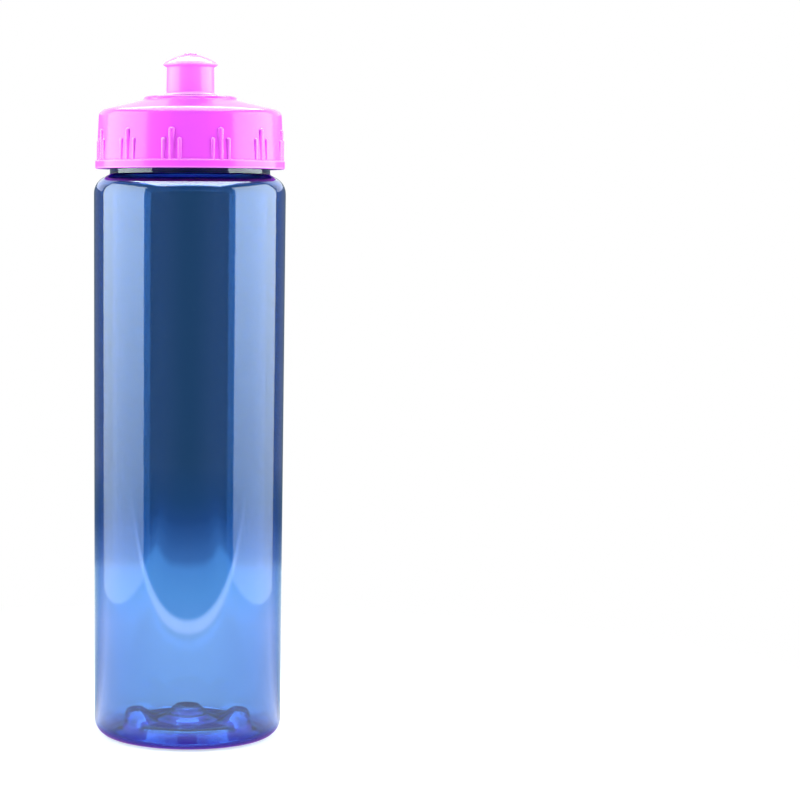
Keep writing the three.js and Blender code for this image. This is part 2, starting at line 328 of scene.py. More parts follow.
NECK_RADIUS = 29.5 * MM  # at the thread's root
NECK_BORE = 27.0 * MM
NECK_THREAD_ZONE = (212.0 * MM, 227.4 * MM)  # heights that the thread lies between
BASE_EDGE = 27.0 * MM  # the pushed-up part of the base lies within this radius
BASE_TOP = 14.0 * MM  # and below this height
WALL_TAPER = 0.67 * MM  # how much slimmer the wall is at the heel than at the shoulder
LUG_INNER = 18.5 * MM  # radii between which a lug has its full height
LUG_OUTER = 22.6 * MM
LUG_HALF_ANGLE = math.radians(24)  # half of its width, to the middle of its slopes
LUG_SOFT_INNER = 7.0 * MM  # width of its slope towards the axis
LUG_SOFT_OUTER = 2.6 * MM  # width of its slope away from the axis
LUG_SOFT_ANGLE = math.radians(18)  # half the width of its slopes at the sides
NECK_ROWS = 0.25 * MM  # height of the rows of faces on the neck
BASE_ROWS = 0.6 * MM


def bottle_outline(s):
    """The bottle's section: underside, heel, wall, shoulder, neck, and the same again inside."""
    wall, base = s.wall / MM, s.base_wall / MM
    high, rim = s.radius / MM, s.rim / MM
    low = high - WALL_TAPER / MM
    neck, bore = NECK_RADIUS / MM, NECK_BORE / MM
    underside = [
        (4.3, 9.4, 0.5),
        (4.9, 8.7, 0.3),
        (5.7, 8.4, 0.3),
        (6.2, 7.4, 0.3),
        (7.2, 7.1, 0.3),
        (8.2, 5.9, 1.0),
        (12.0, 4.4, 4.0),
        (21.8, 3.9, 6.0),
    ]
    floor = [(r, z + base, f) for r, z, f in reversed(underside)]
    corners = [(0, 9.5, 0), *underside]
    corners += [
        (27.2, 0, 0.7),
        (low, 0, 6.0),
        (high, 205.15, 6.5),
        (neck, 208.2, 0.7),
        (neck, rim, 0.5),
        (bore, rim, 0.5),
        (bore, 208.3, 2.0),
        (high - wall, 204.54, 6.5 - wall),
        (low - wall, wall, 6.0 - wall),
        (27.9, wall, 2.0),
    ]
    corners += [*floor, (0, 9.5 + base, 0)]
    return rounded(corners)


def on_base(radius, height):
    return height < BASE_TOP and radius < BASE_EDGE


def on_neck_thread(radius, height):
    low, high = NECK_THREAD_ZONE
    return low < height < high and radius > NECK_RADIUS - ON_WALL


def lug_share(azimuth, radius):
    """1 on the middle of either lug, 0 off them. They stand at the left and the right."""
    off = abs(azimuth - math.pi * round(azimuth / math.pi))
    inner = smoothstep(radius, LUG_INNER - LUG_SOFT_INNER, LUG_INNER)
    outer = smoothstep(radius, LUG_OUTER, LUG_OUTER + LUG_SOFT_OUTER)
    side = smoothstep(off, LUG_HALF_ANGLE - LUG_SOFT_ANGLE, LUG_HALF_ANGLE + LUG_SOFT_ANGLE)
    return inner * (1 - outer) * (1 - side)


def bottle_rows(radius, height):
    """Row spacing: fine on the base and on the neck's thread."""
    if on_base(radius, height):
        return BASE_ROWS
    if on_neck_thread(radius, height):
        return NECK_ROWS
    return None


def make_bottle(s):
    """The blown body, with its lugs and its thread."""

    def relief(azimuth, radius, height):
        if on_base(radius, height):
            return radius, height + s.lug_lift * lug_share(azimuth, radius)
        if on_neck_thread(radius, height):
            return radius + thread_height(azimuth, height, NECK_THREAD), height
        return radius, height

    outline = closer(bottle_outline(s), bottle_rows)
    piece = show("blue_bottle", revolve("blue_bottle", outline, BODY_SEGMENTS, relief))
    piece.data.materials.append(clear_blue(s))
    return piece


# ------------------------------------------------------------------ cap

CAP_BORE = 31.8 * MM  # inner radius of the skirt
CAP_THREAD_ZONE = (211.0 * MM, 224.5 * MM)  # heights that the inner thread lies between
CHIMNEY_RADIUS = 6.2 * MM
CHIMNEY_BORE = 5.0 * MM
POST_RADIUS = 2.1 * MM
PLUG_RADIUS = 2.5 * MM
SPOKE_SIZE = (11.2 * MM, 1.1 * MM, 4.0 * MM)
SPOKE_HEIGHT = 241.0 * MM  # of the spokes' middle
RIB_OUTER = 34.68 * MM  # radius that the ribs reach
RIB_FOOT = 211.8 * MM  # inside the flange
TALL_RIB = {"radius": 1.3 * MM, "top": 224.8 * MM, "angle": 0.0}
LEFT_RIB = {"radius": 0.85 * MM, "top": 221.0 * MM, "angle": math.radians(-5)}
RIGHT_RIB = {"radius": 0.85 * MM, "top": 221.0 * MM, "angle": math.radians(5)}
RIB_SEGMENTS = 24
RIB_DOME_ROWS = 8
CAP_ROWS = 0.3 * MM  # height of the rows of faces on the cap's thread
LINER_GAP = 0.3 * MM  # between the liner and the cap above it


def cap_outline(s):
    """The cap's section: flange, skirt, sloping top, disc, chimney, underside with its plug ring."""
    flange = s.radius / MM
    foot = CAP_LOW.z / MM
    bore = CAP_BORE / MM
    chimney, inside = CHIMNEY_RADIUS / MM, CHIMNEY_BORE / MM
    ceiling, under_cone, under_edge = 234.8, 233.5, 231.67
    seat = (LINER_HIGH.z + LINER_GAP) / MM
    return rounded(
        [
            (bore, foot, 0.3),
            (flange, foot, 0.45),
            (flange, 213.1, 0.4),
            (34.34, 213.3, 0.15),
            (33.54, 231.45, 2.8),
            (17.2, 235.4, 0.35),
            (16.85, 236.7, 0.8),
            (chimney, 236.7, 0.3),
            (chimney, 245.6, 0.1),
            (6.6, 245.9, 0.12),
            (6.6, 246.3, 0.12),
            (6.1, 246.8, 0.2),
            (inside, 246.8, 0.3),
            (inside, ceiling, 0.4),
            (16.2, ceiling, 0.5),
            (17.2, under_cone, 0.4),
            (24.8, under_edge, 0.4),
            (24.8, 225.6, 0.3),
            (25.6, 225.6, 0.3),
            (26.0, 226.4, 0.3),
            (26.0, seat, 0.15),
            (bore, seat, 0.3),
        ]
    )


def on_cap_thread(radius, height):
    low, high = CAP_THREAD_ZONE
    return low < height < high and abs(radius - CAP_BORE) < ON_WALL


def cap_rows(radius, height):
    """Row spacing: fine where the inner thread stands out."""
    return CAP_ROWS if on_cap_thread(radius, height) else None


def post_outline():
    """The centre post's section, with the plug at its tip."""
    top = CAP_HIGH.z / MM
    post, plug = POST_RADIUS / MM, PLUG_RADIUS / MM
    return rounded(
        [
            (0, 236.0, 0),
            (post, 236.0, 0.5),
            (post, 247.3, 0.6),
            (plug, 248.4, 0.6),
            (plug, top, 0.7),
            (0, top, 0),
        ]
    )


def make_spokes():
    """Four arms that hold the post in the chimney."""
    bm = bmesh.new()
    for turn in (0, math.pi / 2):
        made = bmesh.ops.create_cube(bm, size=1)["verts"]
        bmesh.ops.scale(bm, vec=SPOKE_SIZE, verts=made)
        bmesh.ops.translate(bm, vec=(0, 0, SPOKE_HEIGHT), verts=made)
        bmesh.ops.rotate(bm, cent=(0, 0, 0), matrix=turn_about_z(turn), verts=made)
    mesh = bpy.data.meshes.new("spokes")
    bm.to_mesh(mesh)
    bm.free()
    return mesh


def turn_about_z(angle):
    return Matrix.Rotation(angle, 3, "Z")


def make_rib_group():
    """One tall rib between two short ones, at azimuth 0. Each is an upright bar with a domed top."""
    bm = bmesh.new()
    for rib in (TALL_RIB, LEFT_RIB, RIGHT_RIB):
        radius, top = rib["radius"], rib["top"]
        centre = Vector((RIB_OUTER - radius, 0, 0))
        centre.rotate(turn_about_z(rib["angle"]))
        rows = [(radius, RIB_FOOT)]
        for k in range(RIB_DOME_ROWS):
            lift = math.pi / 2 * k / RIB_DOME_ROWS
            rows.append((radius * math.cos(lift), top - radius + radius * math.sin(lift)))
        rings = []
        for r, z in rows:
            ring = []
            for k in range(RIB_SEGMENTS):
                angle = 2 * math.pi * k / RIB_SEGMENTS
                x = centre.x + r * math.cos(angle)
                y = centre.y + r * math.sin(angle)
                ring.append(bm.verts.new((x, y, z)))
            rings.append(ring)
        bm.faces.new(reversed(rings[0]))
        for low, high in zip(rings, rings[1:]):
            for k in range(RIB_SEGMENTS):
                k2 = (k + 1) % RIB_SEGMENTS
                bm.faces.new((low[k], low[k2], high[k2], high[k]))
        tip = bm.verts.new((centre.x, centre.y, top))
        for k in range(RIB_SEGMENTS):
            bm.faces.new((rings[-1][k], rings[-1][(k + 1) % RIB_SEGMENTS], tip))
    mesh = bpy.data.meshes.new("rib_group")
    bm.to_mesh(mesh)
    bm.free()
    return mesh


def ring_copies_tree():
    """Node group: copies what it is given round the Z axis at even steps."""
    tree = bpy.data.node_groups.new("Copies round the axis", "GeometryNodeTree")
    new_socket = tree.interface.new_socket
    new_socket("Geometry", in_out="INPUT", socket_type="NodeSocketGeometry")
    new_socket("Count", in_out="INPUT", socket_type="NodeSocketInt")
    new_socket("First angle", in_out="INPUT", socket_type="NodeSocketFloat")
    new_socket("Material", in_out="INPUT", socket_type="NodeSocketMaterial")
    new_socket("Geometry", in_out="OUTPUT", socket_type="NodeSocketGeometry")
    new, link = tree.nodes.new, tree.links.new
    source = new("NodeGroupInput")
    whole = new("GeometryNodeGeometryToInstance")
    copies = new("GeometryNodeDuplicateElements")
    copies.domain = "INSTANCE"
    step = new("ShaderNodeMath")
    step.operation = "DIVIDE"
    step.inputs[0].default_value = 2 * math.pi
    angle = new("ShaderNodeMath")
    angle.operation = "MULTIPLY_ADD"
    euler = new("ShaderNodeCombineXYZ")
    rotation = new("FunctionNodeEulerToRotation")
    rotate = new("GeometryNodeRotateInstances")
    rotate.inputs["Local Space"].default_value = False
    real = new("GeometryNodeRealizeInstances")
    finish = new("GeometryNodeSetMaterial")
    result = new("NodeGroupOutput")
    link(source.outputs["Geometry"], whole.inputs[0])
    link(whole.outputs[0], copies.inputs["Geometry"])
    link(source.outputs["Count"], copies.inputs["Amount"])
    link(source.outputs["Count"], step.inputs[1])
    link(copies.outputs["Duplicate Index"], angle.inputs[0])
    link(step.outputs[0], angle.inputs[1])
    link(source.outputs["First angle"], angle.inputs[2])
    link(angle.outputs[0], euler.inputs["Z"])
    link(euler.outputs[0], rotation.inputs[0])
    link(copies.outputs["Geometry"], rotate.inputs["Instances"])
    link(rotation.outputs[0], rotate.inputs["Rotation"])
    link(rotate.outputs[0], real.inputs[0])
    link(real.outputs[0], finish.inputs["Geometry"])
    link(source.outputs["Material"], finish.inputs["Material"])
    link(finish.outputs[0], result.inputs["Geometry"])
    return tree


def set_inputs(modifier, values):
    """Sets a Geometry Nodes modifier's named inputs by their sockets' identifiers."""
    for item in modifier.node_group.interface.items_tree:
        if item.in_out == "INPUT" and item.name in values:
            modifier[item.identifier] = values[item.name]


def make_cap(s):
    """The cap's shell with its thread, joined with its ribs, spokes and centre post."""

    def relief(azimuth, radius, height):
        if on_cap_thread(radius, height):
            return radius - thread_height(azimuth, height, CAP_THREAD), height
        return radius, height

    pink = moulded_pink("pink_cap_plastic", s.pink)
    outline = closer(cap_outline(s), cap_rows)
    cap = show("pink_cap", revolve("pink_cap", outline, BODY_SEGMENTS, relief))
    cap.data.materials.append(pink)
    ribs = show("finger_ribs", make_rib_group())
    copies = ribs.modifiers.new("Copies", "NODES")
    copies.node_group = ring_copies_tree()
    set_inputs(copies, {"Count": s.grip_count, "First angle": s.grip_start, "Material": pink})
    settle(ribs)
    post = show("centre_post", revolve("centre_post", post_outline(), SPOUT_SEGMENTS))
    post.data.materials.append(pink)
    spokes = show("spokes", make_spokes())
    spokes.data.materials.append(pink)
    return join_solids(cap, [ribs, post, spokes])


# ------------------------------------------------------------------ spout and liner

SPOUT_BORE = 6.9 * MM  # inner radius of the barrel
SNAP_BEAD = 6.5 * MM  # inner radius of the bead that holds the spout on the chimney
ORIFICE = 2.8 * MM  # radius of the hole that the drink leaves by
LINER_BORE = 26.3 * MM  # inner radius of the sealing ring


def spout_outline():
    """The spout's section: flared foot, barrel, lip, domed top, orifice and bore."""
    foot = SPOUT_LOW.z / MM
    lip = SPOUT_HIGH.x / MM
    bore, bead, orifice = SPOUT_BORE / MM, SNAP_BEAD / MM, ORIFICE / MM
    return rounded(
        [
            (6.8, foot, 0.1),
            (9.85, foot, 0.18),
            (9.85, foot + 0.45, 0.12),
            (8.82, foot + 0.45, 0.95),
            (8.67, 247.35, 0.15),
            (lip + 0.12, 248.3, 0.45),
            (9.3, 249.35, 0.9),
            (6.6, 250.75, 5.0),
            (3.5, 251.85, 0.7),
            (orifice, 251.75, 0.2),
            (orifice, 250.0, 0.3),
            (bore, 248.0, 0.6),
            (bore, foot + 1.4, 0.2),
            (bead, foot + 1.1, 0.15),
            (bead, foot + 0.4, 0.15),
        ]
    )


def make_spout(s):
    """The spout, pushed down."""
    piece = show("pink_spout", revolve("pink_spout", spout_outline(), SPOUT_SEGMENTS))
    piece.data.materials.append(moulded_pink("pink_spout_plastic", s.spout_pink))
    return piece


def make_liner(s):
    """The flat sealing ring, with a shallow groove underneath."""
    low, high = LINER_LOW.z / MM, LINER_HIGH.z / MM
    bore, outer = LINER_BORE / MM, LINER_HIGH.x / MM
    middle = (low + high) / 2
    outline = rounded(
        [
            (bore, low, 0.3),
            (27.6, low, 0.1),
            (28.2, low + 0.12, 0.1),
            (28.8, low, 0.1),
            (outer, low, 0.3),
            (outer, high, 0.3),
            (bore, high, 0.3),
            (bore, middle, 0),
        ]
    )
    piece = show("sealing_liner", revolve("sealing_liner", outline, BODY_SEGMENTS))
    piece.data.materials.append(soft_liner(s))
    return piece


# ------------------------------------------------------------------ materials

FLOW_SHADES = (0.94, 1.04)  # darkest and lightest streak of the pink plastic
PINK_ROUGHNESS = (0.14, 0.23)
PAINTED_SHADE_REACH = 1.3 * MM  # how far out of an inner corner the painted shade darkens the pink plastic
PAINTED_SHADE_SHARES = (0.5, 0.2, 0.55)  # share of each colour that the painted shade leaves in the deepest corner
PAINTED_HIGHLIGHT_REACH = 0.7 * MM  # how far from an outer edge the painted highlight makes the pink plastic paler
# how far the painted highlight on outer edges lifts the pink towards white
PAINTED_HIGHLIGHT_PALENESS = 0.8
CORNER_SAMPLES = 8  # rays that look for a corner
LINER_SHADE = 0.85  # the liner's darkest cells


def new_material(name):
    """A material with its shader, and its node tree's new and link functions."""
    material = bpy.data.materials.new(name)
    material.use_nodes = True
    tree = material.node_tree
    shader = tree.nodes["Principled BSDF"]
    return material, shader, tree.nodes.new, tree.links.new


def noise(new, link, where, scale, detail):
    """Soft random values from 0 to 1."""
    node = new("ShaderNodeTexNoise")
    node.inputs["Scale"].default_value = scale
    node.inputs["Detail"].default_value = detail
    link(where, node.inputs["Vector"])
    return node.outputs["Fac"]


def spread(new, link, value, low, high):
    """Maps a 0 to 1 value to a range."""
    node = new("ShaderNodeMapRange")
    node.inputs["To Min"].default_value = low
    node.inputs["To Max"].default_value = high
    link(value, node.inputs["Value"])
    return node.outputs["Result"]


def bump(new, link, height, strength, distance):
    """Makes a surface look uneven."""
    node = new("ShaderNodeBump")
    node.inputs["Strength"].default_value = strength
    node.inputs["Distance"].default_value = distance
    link(height, node.inputs["Height"])
    return node.outputs["Normal"]


def blend(new, link, factor, first, second):
    """A colour from first at 0 to second at 1. Either may be a socket or a colour."""
    node = new("ShaderNodeMix")
    node.data_type = "RGBA"
    for value, name in ((first, "A"), (second, "B")):
        if isinstance(value, bpy.types.NodeSocket):
            link(value, node.inputs[name])
        else:
            node.inputs[name].default_value = (*value, 1)
    link(factor, node.inputs["Factor"])
    return node.outputs["Result"]


def open_ground(new, reach, inside):
    """1 on open ground, less towards a corner: an outer edge if inside is set, and else an inner one. It
    is the mask for the pink plastic's painted shade and painted highlights.
    """
    node = new("ShaderNodeAmbientOcclusion")
    node.samples = CORNER_SAMPLES
    node.inside = inside
    node.inputs["Distance"].default_value = reach
    return node.outputs["AO"]


def clear_blue(s):
    """Clear tinted plastic: the wall takes up light with its depth, and is very slightly wavy."""
    material, shader, new, link = new_material("clear_blue_plastic")
    shader.inputs["Base Color"].default_value = (1, 1, 1, 1)
    shader.inputs["Transmission Weight"].default_value = 1.0
    shader.inputs["IOR"].default_value = 1.5
    where = new("ShaderNodeTexCoord").outputs["Object"]
    waves = noise(new, link, where, scale=45.0, detail=2.0)
    haze = noise(new, link, where, scale=260.0, detail=4.0)
    link(spread(new, link, haze, low=0.015, high=0.05), shader.inputs["Roughness"])
    link(bump(new, link, waves, strength=0.1, distance=0.2 * MM), shader.inputs["Normal"])
    depth = new("ShaderNodeVolumeAbsorption")
    depth.inputs["Color"].default_value = (*s.tint, 1)
    depth.inputs["Density"].default_value = s.tint_density
    output = material.node_tree.nodes["Material Output"]
    link(depth.outputs["Volume"], output.inputs["Volume"])
    return material


def moulded_pink(name, colour):
    """Glossy moulded plastic: faint flow streaks, painted shade in inner corners, painted highlights on
    outer edges, a fine skin.
    """
    material, shader, new, link = new_material(name)
    where = new("ShaderNodeTexCoord").outputs["Object"]
    flow = noise(new, link, where, scale=35.0, detail=3.0)
    skin = noise(new, link, where, scale=900.0, detail=2.0)
    dark, light = ([min(1.0, c * shade) for c in colour] for shade in FLOW_SHADES)
    painted_shade_colour = [c * share for c, share in zip(colour, PAINTED_SHADE_SHARES)]
    painted_highlight_colour = [c + (1 - c) * PAINTED_HIGHLIGHT_PALENESS for c in colour]
    tone = blend(new, link, flow, dark, light)
    # Painted shade: the pink turns darker towards inner corners.
    tone = blend(new, link, open_ground(new, PAINTED_SHADE_REACH, inside=False), painted_shade_colour, tone)
    # Painted highlight: the pink turns paler towards outer edges.
    tone = blend(new, link, open_ground(new, PAINTED_HIGHLIGHT_REACH, inside=True), painted_highlight_colour, tone)
    low, high = PINK_ROUGHNESS
    link(tone, shader.inputs["Base Color"])
    link(spread(new, link, skin, low, high), shader.inputs["Roughness"])
    link(bump(new, link, skin, strength=0.12, distance=0.04 * MM), shader.inputs["Normal"])
    shader.inputs["IOR"].default_value = 1.49
    shader.inputs["Specular IOR Level"].default_value = 0.3
    return material


def soft_liner(s):
    """Soft foamed rubber."""
    material, shader, new, link = new_material("soft_liner_rubber")
    where = new("ShaderNodeTexCoord").outputs["Object"]
    foam = noise(new, link, where, scale=1500.0, detail=3.0)
    shaded = [c * LINER_SHADE for c in s.liner_colour]
    link(blend(new, link, foam, shaded, s.liner_colour), shader.inputs["Base Color"])
    link(spread(new, link, foam, low=0.6, high=0.8), shader.inputs["Roughness"])
    link(bump(new, link, foam, strength=0.3, distance=0.05 * MM), shader.inputs["Normal"])
    return material


# ------------------------------------------------------------------ stage

TABLE_RADIUS = 1.5
TABLE_SEGMENTS = 96
TABLE_OWN_LIGHT = 0.5
TABLE_WHITENING = (0.06, 0.3)  # distances between which the board turns into an even white
TABLE_GLOW = 1.4  # of the table that the clear wall shows
TABLE_CLEARING = (0.6, 1.0)  # distances between which the room takes that table's place
ROOM_BEHIND = (0.12, 0.19, 0.215)  # what the clear wall shows above the table
ROOM_ASIDE = (0.28, 0.35, 0.5)
ROOM_TURN = (0.12, 0.5)  # how far aside a direction points where one gives way to the other
PAINTED_BASE_SHADOW_LEVELS = (  # distance from the axis, and what is left of the glow under the pushed-up base, where a painted blue-violet shadow of the bottle lies
    (0.0, (0.3, 0.06, 0.52)),
    (0.026, (0.3, 0.06, 0.52)),
    (0.03, (0.24, 0.08, 0.3)),
    (0.035, (0.25, 0.16, 0.38)),
    (0.043, (0.48, 0.52, 0.66)),
    (0.06, 0.93),
    (0.08, 1.0),
)
PAINTED_POOL_LEVELS = (  # distance from the axis, and the share of the table's glow there, as a painted pool of light round the bottle that dims far from it
    (0.0, 0.82),
    (0.15, 0.86),
    (0.25, 0.97),
    (0.33, (0.82, 0.92, 0.92)),
    (0.42, (0.66, 0.78, 0.84)),
    (0.455, (0.38, 0.46, 0.56)),
    (0.54, (0.24, 0.31, 0.41)),
    (0.62, (0.15, 0.21, 0.3)),
    (0.75, (0.11, 0.18, 0.23)),
)
PAINTED_POOL_BULGE = (  # distance to the side, and how much further the painted pool of light runs there, which leaves a darker painted strip straight behind the bottle
    (0.0, 0.0),
    (0.011, 0.008),
    (0.016, 0.03),
    (0.0195, 0.06),
    (0.0225, 0.085),
    (0.026, 0.06),
    (0.031, 0.0),
)
PAINTED_REFLECTION_FRONT = (  # distance in front of the axis, and what is left of the mirrored glow there, with a painted bright band in the reflections in front
    (0.0, 1.0),
    (0.217, 1.0),
    (0.227, 2.3),
    (0.247, 2.2),
    (0.257, 0.06),
)
PAINTED_REFLECTION_ROUND = (  # 0 beside and in front of the axis to 1 behind it, and what is left of the mirrored glow there, as painted reflections: brighter beside and in front, tinted behind
    (0.0, 1.75),
    (0.38, 1.75),
    (0.56, 1.0),
    (0.7, (0.56, 0.73, 0.86)),
    (0.94, (0.62, 0.78, 0.88)),
    (0.98, 1.0),
    (1.0, 1.0),
)
MIRRORED = 0.5  # more mirror bounces than this means that the light came by a reflection
THROUGH_BOTH_WALLS = 3.5  # more crossed surfaces than this means that it came through the bottle
SOFTBOX_ASIDE = 0.29
SOFTBOX_CENTRE = (-0.02, 0.2)  # Y and Z
SOFTBOX_SIZE = (0.39, 0.4)
SOFTBOX_COLOUR = (0.88, 1.0, 1.0)
SOFTBOX_FADE_UP = (0.0, 0.22, 0.42, 1.4)  # from this height to this height, low share, high share
SOFTBOX_FADE_BACK = (0.03, 0.15, 1.0, 0.65)  # the same with Y
SOFTBOX_SHARE_THROUGH = 0.2  # of its light that shows straight through the bottle
KEY_LIGHT = {"place": (0, -0.3, 0.95), "aim": (0, -0.2, 0), "size": (0.6, 0.5)}  # metres
TOP_SOFTBOX = {"place": (0, 0.05, 0.75), "aim": (0, 0.05, 0), "size": (0.9, 1.1)}
BACKDROP = {"place": (0, 1.0, 0.85), "aim": (0, 0, 0.85), "size": (2.4, 1.0)}
CAMERA_DISTANCE = 0.9
CAMERA_HEIGHT = 0.1942
CAMERA_PITCH = math.radians(4.4)
CAMERA_ROLL = math.radians(0.28)
CAMERA_LENS = 109.5  # focal length and sensor width in millimetres
CAMERA_SENSOR = 36
CAMERA_SHIFT = 0.2639


def between(new, link, value, start, end, low=0.0, high=1.0):
    """Low up to start, high from end on, and an even change between them."""
    share = spread(new, link, value, low, high)
    share.node.inputs["From Min"].default_value = start
    share.node.inputs["From Max"].default_value = end
    return share


def ramp_of(new, link, value, levels):
    """A colour for each value, from (value, colour or grey) levels."""
    reach = levels[-1][0]
    ramp = new("ShaderNodeValToRGB")
    stops = ramp.color_ramp.elements
    for _ in levels[2:]:
        stops.new(1.0)
    for stop, (place, colour) in zip(stops, levels):
        stop.position = place / reach
        stop.color = (*colour, 1) if isinstance(colour, tuple) else (colour, colour, colour, 1)
    link(between(new, link, value, 0.0, reach), ramp.inputs["Fac"])
    return ramp.outputs["Color"]


def calculate(new, link, operation, first, second=0.0):
    """One step of arithmetic. Either value may be a socket or a number."""
    node = new("ShaderNodeMath")
    node.operation = operation
    for value, socket in ((first, node.inputs[0]), (second, node.inputs[1])):
        if isinstance(value, (int, float)):
            socket.default_value = value
        else:
            link(value, socket)
    return node.outputs[0]


def product(new, link, first, second):
    """Two colours multiplied."""
    node = new("ShaderNodeVectorMath")
    node.operation = "MULTIPLY"
    link(first, node.inputs[0])
    link(second, node.inputs[1])
    return node.outputs[0]


def table_places(new, link):
    """A place on the table: its distance, how far in front and to the side, and how much behind."""
    where = new("ShaderNodeTexCoord").outputs["Object"]
    length = new("ShaderNodeVectorMath")
    length.operation = "LENGTH"
    link(where, length.inputs[0])
    distance = length.outputs["Value"]
    parts = new("ShaderNodeSeparateXYZ")
    link(where, parts.inputs[0])
    front = calculate(new, link, "MULTIPLY", parts.outputs["Y"], -1.0)
    aside = calculate(new, link, "ABSOLUTE", parts.outputs["X"])
    behind = calculate(new, link, "DIVIDE", parts.outputs["Y"], distance)
    return distance, front, aside, behind


def white_table():
    """Smooth white board that runs out into an even white."""
    material, shader, new, link = new_material("white_board")
    where = new("ShaderNodeTexCoord").outputs["Object"]
    grain = noise(new, link, where, scale=400.0, detail=2.0)
    link(spread(new, link, grain, low=0.75, high=0.9), shader.inputs["Roughness"])
    shader.inputs["Base Color"].default_value = (0.6, 0.6, 0.6, 1)
    shader.inputs["Specular IOR Level"].default_value = 0.2
    shader.inputs["Emission Color"].default_value = (1, 1, 1, 1)
    shader.inputs["Emission Strength"].default_value = TABLE_OWN_LIGHT
    distance = table_places(new, link)[0]
    glow = new("ShaderNodeEmission")
    mix = new("ShaderNodeMixShader")
    link(between(new, link, distance, *TABLE_WHITENING), mix.inputs["Fac"])
    link(shader.outputs["BSDF"], mix.inputs[1])
    link(glow.outputs["Emission"], mix.inputs[2])
    link(mix.outputs[0], material.node_tree.nodes["Material Output"].inputs["Surface"])
    return material


def fading_table():
    """The table's light as the clear wall shows it, painted on a glowing board: a painted pool of light
    round the bottle that dims far from it, a painted shadow under its base and painted reflections in
    front.
    """
    material = bpy.data.materials.new("fading_board")
    material.use_nodes = True
    tree = material.node_tree
    tree.nodes.clear()
    new, link = tree.nodes.new, tree.links.new
    distance, front, aside, behind = table_places(new, link)
    bulge = ramp_of(new, link, aside, PAINTED_POOL_BULGE)
    path = new("ShaderNodeLightPath")
    mirrored = calculate(new, link, "GREATER_THAN", path.outputs["Glossy Depth"], MIRRORED)
    # Painted pool of light, reaching further beside a darker strip straight behind the bottle.
    colour = ramp_of(new, link, calculate(new, link, "SUBTRACT", distance, bulge), PAINTED_POOL_LEVELS)
    # Painted shadow: a blue-violet shadow of the bottle under its base.
    colour = product(new, link, colour, ramp_of(new, link, distance, PAINTED_BASE_SHADOW_LEVELS))
    # Painted reflections: only light that came by a mirror bounce takes these shares.
    for value, levels in ((front, PAINTED_REFLECTION_FRONT), (behind, PAINTED_REFLECTION_ROUND)):
        share = blend(new, link, mirrored, (1, 1, 1), ramp_of(new, link, value, levels))
        colour = product(new, link, colour, share)
    glow = new("ShaderNodeEmission")
    glow.inputs["Strength"].default_value = TABLE_GLOW
    link(colour, glow.inputs["Color"])
    mix = new("ShaderNodeMixShader")
    link(between(new, link, distance, *TABLE_CLEARING), mix.inputs["Fac"])
    link(glow.outputs["Emission"], mix.inputs[1])
    link(new("ShaderNodeBsdfTransparent").outputs[0], mix.inputs[2])
    output = new("ShaderNodeOutputMaterial")
    link(mix.outputs[0], output.inputs["Surface"])
    return material


def disc(name, height, material):
    """A round board at this height, with this material."""
    bm = bmesh.new()
    bmesh.ops.create_circle(bm, cap_ends=True, radius=TABLE_RADIUS, segments=TABLE_SEGMENTS)
    bmesh.ops.translate(bm, vec=(0, 0, height), verts=bm.verts)
    mesh = bpy.data.meshes.new(name)
    bm.to_mesh(mesh)
    bm.free()
    mesh.materials.append(material)
    piece = bpy.data.objects.new(name, mesh)
    bpy.context.scene.collection.objects.link(piece)
    return piece


def soft_light(name, power, place, aim, size):
    """A rectangular area light that the camera doesn't see."""
    data = bpy.data.lights.new(name, "AREA")
    data.shape = "RECTANGLE"
    data.size, data.size_y = size
    data.energy = power
    light = bpy.data.objects.new(name, data)
    light.location = place
    light.rotation_mode = "QUATERNION"
    light.rotation_quaternion = (Vector(aim) - Vector(place)).to_track_quat("-Z", "Y")
    light.visible_camera = False
    bpy.context.scene.collection.objects.link(light)
    return light


def power_for(glow, size):
    """The power that gives a rectangle of this size a brightness."""
    return glow * math.pi * size[0] * size[1]


def fade_softbox(light):
    """Makes a side softbox dimmer near the table, at its back edge and straight through both walls."""
    light.data.use_nodes = True
    tree = light.data.node_tree
    new, link = tree.nodes.new, tree.links.new
    parts = new("ShaderNodeSeparateXYZ")
    link(new("ShaderNodeNewGeometry").outputs["Position"], parts.inputs[0])
    up = between(new, link, parts.outputs["Z"], *SOFTBOX_FADE_UP)
    back = between(new, link, parts.outputs["Y"], *SOFTBOX_FADE_BACK)
    path = new("ShaderNodeLightPath")
    crossed = path.outputs["Transmission Depth"]
    through = calculate(new, link, "GREATER_THAN", crossed, THROUGH_BOTH_WALLS)
    direct = calculate(new, link, "LESS_THAN", path.outputs["Glossy Depth"], MIRRORED)
    straight = calculate(new, link, "MULTIPLY", through, direct)
    share = spread(new, link, straight, 1.0, SOFTBOX_SHARE_THROUGH)
    strength = calculate(new, link, "MULTIPLY", calculate(new, link, "MULTIPLY", up, back), share)
    link(strength, tree.nodes["Emission"].inputs["Strength"])


